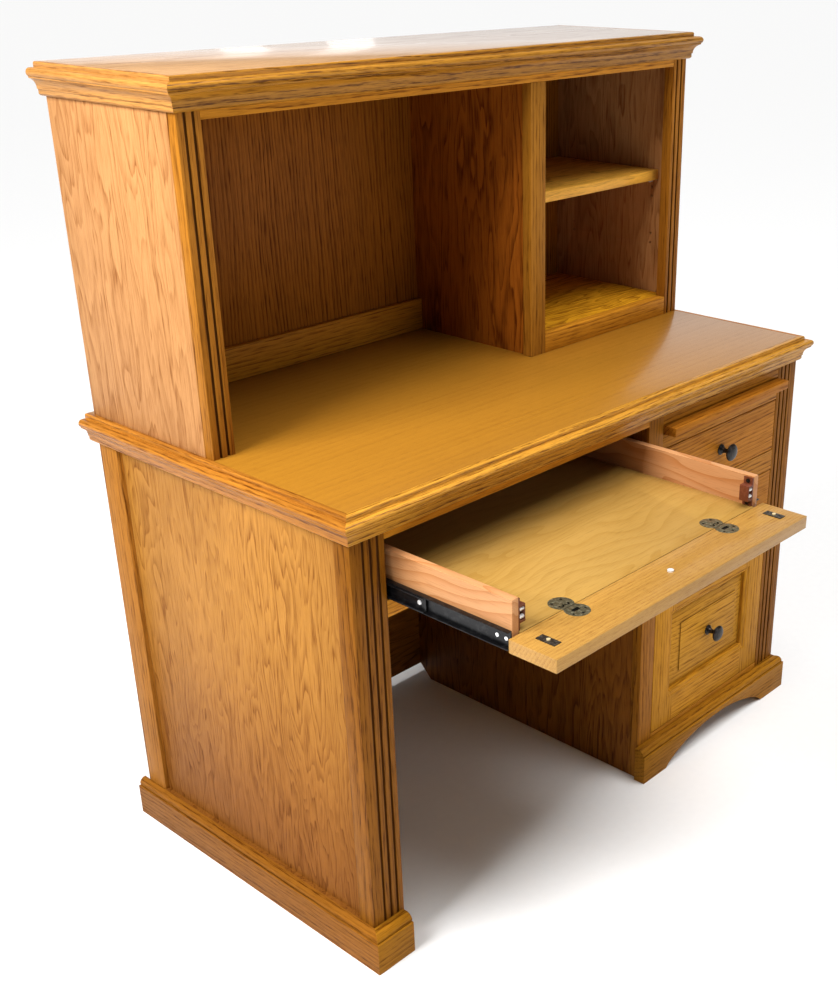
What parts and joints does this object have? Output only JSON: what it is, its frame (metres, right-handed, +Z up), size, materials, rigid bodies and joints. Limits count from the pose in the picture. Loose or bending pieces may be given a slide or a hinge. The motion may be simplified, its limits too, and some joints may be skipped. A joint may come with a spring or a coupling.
{
  "type": "computer desk with keyboard tray",
  "caption": "Oak writing desk with a shelf hutch, drawer pedestal, pull-out writing board and a sliding keyboard tray with a fold-down front.",
  "frame": {"origin": "centre of the bounding box on the floor, in the stored pose with the keyboard tray pulled out and its drop front folded down", "axes": "+Z up, -Y towards the sitter, +X to the sitter's right, the side with the drawers"},
  "size_m": [1.17, 0.9226, 1.286],
  "materials": {
    "oak_top": "semi-gloss golden oak",
    "oak_panel": "satin golden oak veneer",
    "oak_trim": "semi-gloss solid golden oak",
    "oak_moulding": "semi-gloss solid golden oak, open pored",
    "tray_top": "satin golden birch veneer",
    "birch": "satin clear-coated birch",
    "black_slide": "satin black",
    "bright_steel": "bright zinc plated",
    "brown_plastic": "moulded brown plastic",
    "antique_brass": "antique brass, worn",
    "dark_bronze": "oil-rubbed bronze, satin"
  },
  "bodies": {
    "carcass": {"desktop_panel": "oak_top", "desktop_moulding_front": "oak_moulding", "desktop_moulding_sides": "oak_moulding", "side_panels": "oak_panel", "corner_stiles": "oak_trim", "rear_posts": "oak_trim", "base_sides": "oak_moulding", "base_left_front": "oak_moulding", "pedestal_base_front": "oak_moulding", "pedestal_inner_side": "oak_panel", "pedestal_inner_stile": "oak_trim", "pedestal_rails": "oak_trim", "pedestal_bottom": "birch", "kneehole_rails": "oak_trim", "modesty_panel": "oak_panel", "pedestal_back": "oak_panel", "slide_cleats": "birch", "slide_channels": "black_slide", "writing_board_runners": "birch", "hutch_sides": "oak_panel", "hutch_stiles": "oak_trim", "hutch_rails": "oak_trim", "hutch_top_panel": "oak_top", "crown_front": "oak_moulding", "crown_sides": "oak_moulding", "hutch_back": "oak_panel", "hutch_divider": "oak_panel", "hutch_divider_stile": "oak_trim", "cubby_floor": "oak_panel", "adjustable_shelf": "oak_top", "shelf_pins": "bright_steel"},
    "tray": {"tray_board": "tray_top", "tray_sides": "birch", "tray_slide_members": "black_slide", "tray_screws": "bright_steel", "catch_bodies": "brown_plastic", "catch_rollers": "bright_steel", "catch_screws": "black_slide", "tray_hinge_plates": "antique_brass"},
    "slide_intermediates": {"tray_slide_intermediates": "black_slide"},
    "drop_front": {"drop_front": "oak_trim", "drop_hinge_plates": "antique_brass", "strike_plates": "antique_brass", "strike_studs": "antique_brass", "drop_knob": "dark_bronze", "drop_knob_screw": "bright_steel"},
    "writing_board": {"writing_board": "oak_trim"},
    "upper_drawer": {"upper_drawer_front": "oak_trim", "upper_drawer_box": "birch", "upper_drawer_slides": "black_slide", "upper_drawer_knob": "dark_bronze"},
    "lower_drawer": {"lower_drawer_front": "oak_trim", "lower_drawer_box": "birch", "lower_drawer_slides": "black_slide", "lower_drawer_knob": "dark_bronze"},
    "file_drawer": {"file_drawer_frame": "oak_trim", "file_drawer_panel": "oak_panel", "file_drawer_box": "birch", "file_drawer_slides": "black_slide", "file_drawer_knob": "dark_bronze"}
  },
  "joints": [
    {"name": "tray_slide", "type": "slide", "parent": "carcass", "child": "tray", "axis": [0, -1, 0], "range_m": [-0.247, 0]},
    {"name": "slide_intermediate", "type": "slide", "parent": "carcass", "child": "slide_intermediates", "axis": [0, -1, 0], "range_m": [-0.1235, 0]},
    {"name": "drop_front_hinge", "type": "hinge", "parent": "tray", "child": "drop_front", "pos_m": [-0.20075, -0.38825, 0.6225], "axis": [-1, 0, 0], "range_deg": [0, 90]},
    {"name": "writing_board_slide", "type": "slide", "parent": "carcass", "child": "writing_board", "axis": [0, -1, 0], "range_m": [-0.025, 0.275]},
    {"name": "upper_drawer_slide", "type": "slide", "parent": "carcass", "child": "upper_drawer", "axis": [0, -1, 0], "range_m": [0, 0.33]},
    {"name": "lower_drawer_slide", "type": "slide", "parent": "carcass", "child": "lower_drawer", "axis": [0, -1, 0], "range_m": [0, 0.33]},
    {"name": "file_drawer_slide", "type": "slide", "parent": "carcass", "child": "file_drawer", "axis": [0, -1, 0], "range_m": [0, 0.33]}
  ],
  "couplings": [
    {"joint": "slide_intermediate", "follows": "tray_slide", "ratio": 0.5}
  ]
}
